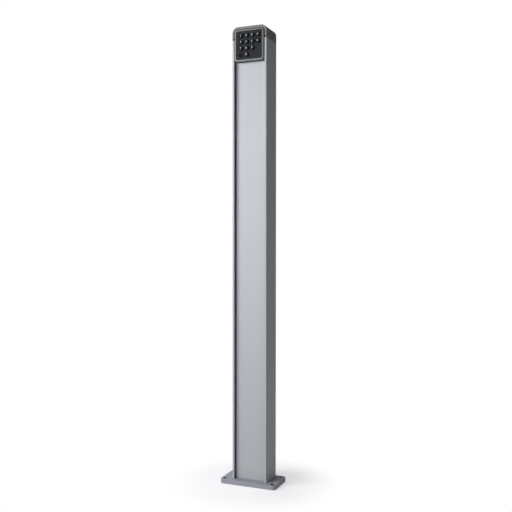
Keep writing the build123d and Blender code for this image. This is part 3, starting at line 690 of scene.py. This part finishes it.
class GATEPOST_OT_legends(bpy.types.Operator):
    """Printed digits and arrows, lying in the dish of each key"""
    bl_idname = "gatepost.legends"
    bl_label = "Print the key legends"

    def execute(self, context):
        sizes = context.scene.gate_post_legends
        ink = printed("legend_ink", colours().legends)
        for name in DIGITS:
            deselect()
            bpy.ops.object.text_add(location=(0.0, 0.0, 0.0))
            mark = context.object
            mark.data.body = name
            mark.data.size = sizes.height / TYPE_HEIGHT
            mark.data.offset = sizes.weight
            mark.data.resolution_u = CURVE_STEPS
            bpy.ops.object.convert(target="MESH")
            self.finish_mark(context.object, name, ink, sizes)
        for name, loops in DRAWN.items():
            self.finish_mark(flat_mark(loops, sizes.height), name, ink, sizes)
        for name, way in ARROWS.items():
            deselect()
            bpy.ops.mesh.primitive_circle_add(vertices=3, radius=sizes.arrow, fill_type="NGON",
                                              location=(0.0, 0.0, 0.0))
            mark = context.object
            bpy.ops.object.mode_set(mode="EDIT")
            bpy.ops.mesh.select_all(action="SELECT")
            bpy.ops.mesh.bevel(offset=sizes.arrow * ARROW_ROUNDING, segments=3, affect="VERTICES")
            bpy.ops.object.mode_set(mode="OBJECT")
            tip = max(mark.data.vertices, key=lambda v: v.co.length).co
            turn = math.atan2(tip.y, tip.x)
            mark.rotation_euler = (0.0, 0.0, way * math.pi / 2 - turn)
            self.finish_mark(mark, name, ink, sizes)
        return {"FINISHED"}

    def finish_mark(self, mark, name, ink, sizes):
        """Centre a flat mark, cut it fine, lay it in the key's dish and let it ride with the key."""
        mark.name = "legend_" + name
        bake_place(mark)
        if name not in ARROWS:
            middle = sum((Vector(corner) for corner in mark.bound_box), Vector()) / 8
            mark.location = (-middle.x, -middle.y, 0.0)
            bake_place(mark)
        grid_cuts(mark, sizes.height * GRID_REACH)
        lay_in_dish(mark, name, sizes.ink)
        mark.data.materials.clear()
        mark.data.materials.append(ink)
        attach(mark, "key_" + name)


class GATEPOST_OT_studio(bpy.types.Operator):
    """Floor, surrounding light, lamps and camera"""
    bl_idname = "gatepost.studio"
    bl_label = "Set up the studio"

    def execute(self, context):
        studio = context.scene.gate_post_studio
        self.floor(studio)
        self.surroundings(studio)
        for name, (place, aim, size, power) in LAMPS.items():
            self.lamp(name, place, aim, size, getattr(studio, power))
        deselect()
        bpy.ops.object.camera_add(location=studio.camera_place, rotation=studio.camera_turn)
        camera = context.object
        camera.name = "camera"
        camera.data.sensor_width = SENSOR_WIDTH
        camera.data.lens = studio.lens
        context.scene.camera = camera
        context.scene.view_settings.view_transform = "Standard"
        return {"FINISHED"}

    def lamp(self, name, place, aim, size, power):
        """A wide soft lamp pointed at a place."""
        deselect()
        bpy.ops.object.light_add(type="AREA", location=place)
        lamp = bpy.context.object
        lamp.name = name
        lamp.data.shape = "RECTANGLE"
        lamp.data.size, lamp.data.size_y = size
        lamp.data.energy = power
        lamp.rotation_euler = (Vector(aim) - Vector(place)).to_track_quat("-Z", "Y").to_euler()

    def floor(self, studio):
        """A pale floor that keeps the post's shadow and turns plain white further out."""
        deselect()
        bpy.ops.mesh.primitive_circle_add(vertices=FLOOR_SIDES, radius=studio.floor_radius,
                                          fill_type="NGON", location=(0.0, 0.0, -FLOOR_DROP))
        floor = bpy.context.object
        floor.name = "floor"
        bpy.ops.object.mode_set(mode="EDIT")
        bpy.ops.mesh.inset(thickness=studio.floor_radius / 2)
        bpy.ops.object.mode_set(mode="OBJECT")
        bake_place(floor)
        finish = Finish("floor_white", Roughness=0.9, Specular_IOR_Level=0.0)
        mottle = finish.noise(2.0, 2.0)
        finish.set("Base Color", finish.mix(mottle, rgba(WHITE, FLOOR_GREY[0]), rgba(WHITE, FLOOR_GREY[1])))
        lift = finish.add("ShaderNodeEmission", None, {"Color": rgba(FLOOR_TINT), "Strength": FLOOR_LIFT})
        plain = finish.add("ShaderNodeEmission", None, {"Color": WHITE, "Strength": 1.0})
        lifted = finish.add("ShaderNodeAddShader", None, {0: finish.surface, 1: lift})
        distance = finish.add("ShaderNodeVectorMath", {"operation": "LENGTH"}, {0: finish.place}, "Value")
        near = finish.add("ShaderNodeMixShader", None, {0: finish.seen(), 1: finish.surface, 2: lifted})
        far = finish.band(distance, *FLOOR_FADE) * finish.seen()
        finish.show(finish.add("ShaderNodeMixShader", None, {0: far, 1: near, 2: plain}))
        floor.data.materials.append(finish.material)

    def surroundings(self, studio):
        """White to the camera and in reflections, soft elsewhere."""
        world = bpy.data.worlds.new("surroundings")
        bpy.context.scene.world = world
        nodes = Nodes(world)
        soft = nodes.add("ShaderNodeBackground", None, {"Color": WHITE, "Strength": studio.ambient})
        plain = nodes.add("ShaderNodeBackground", None, {"Color": WHITE, "Strength": 1.0})
        glow = nodes.add("ShaderNodeMixShader", None, {0: nodes.seen(), 1: soft, 2: plain})
        nodes.add("ShaderNodeOutputWorld", None, {"Surface": glow})


class GATEPOST_PT_panel(bpy.types.Panel):
    """Lists the steps that finish the post"""
    bl_idname = "GATEPOST_PT_panel"
    bl_label = "Gate post"
    bl_space_type = "VIEW_3D"
    bl_region_type = "UI"
    bl_category = "Gate post"

    def draw(self, context):
        for step in STEPS:
            self.layout.operator(step.bl_idname)
        for group in (context.scene.gate_post_colours, context.scene.gate_post_legends,
                      context.scene.gate_post_studio):
            for name in group.__annotations__:
                self.layout.prop(group, name)


GROUPS = (GatePostColours, GatePostLegends, GatePostStudio)
STEPS = (GATEPOST_OT_metal, GATEPOST_OT_mouldings, GATEPOST_OT_mat, GATEPOST_OT_legends, GATEPOST_OT_studio)


def register():
    for group in GROUPS + STEPS + (GATEPOST_PT_panel,):
        bpy.utils.register_class(group)
    bpy.types.Scene.gate_post_colours = bpy.props.PointerProperty(type=GatePostColours)
    bpy.types.Scene.gate_post_legends = bpy.props.PointerProperty(type=GatePostLegends)
    bpy.types.Scene.gate_post_studio = bpy.props.PointerProperty(type=GatePostStudio)


def unregister():
    del bpy.types.Scene.gate_post_studio
    del bpy.types.Scene.gate_post_legends
    del bpy.types.Scene.gate_post_colours
    for group in reversed(GROUPS + STEPS + (GATEPOST_PT_panel,)):
        bpy.utils.unregister_class(group)


def main():
    """Finish the post, light it and set up the camera."""
    register()
    bpy.ops.gatepost.metal()
    bpy.ops.gatepost.mouldings()
    bpy.ops.gatepost.mat()
    bpy.ops.gatepost.legends()
    bpy.ops.gatepost.studio()


if __name__ == "__main__":
    main()
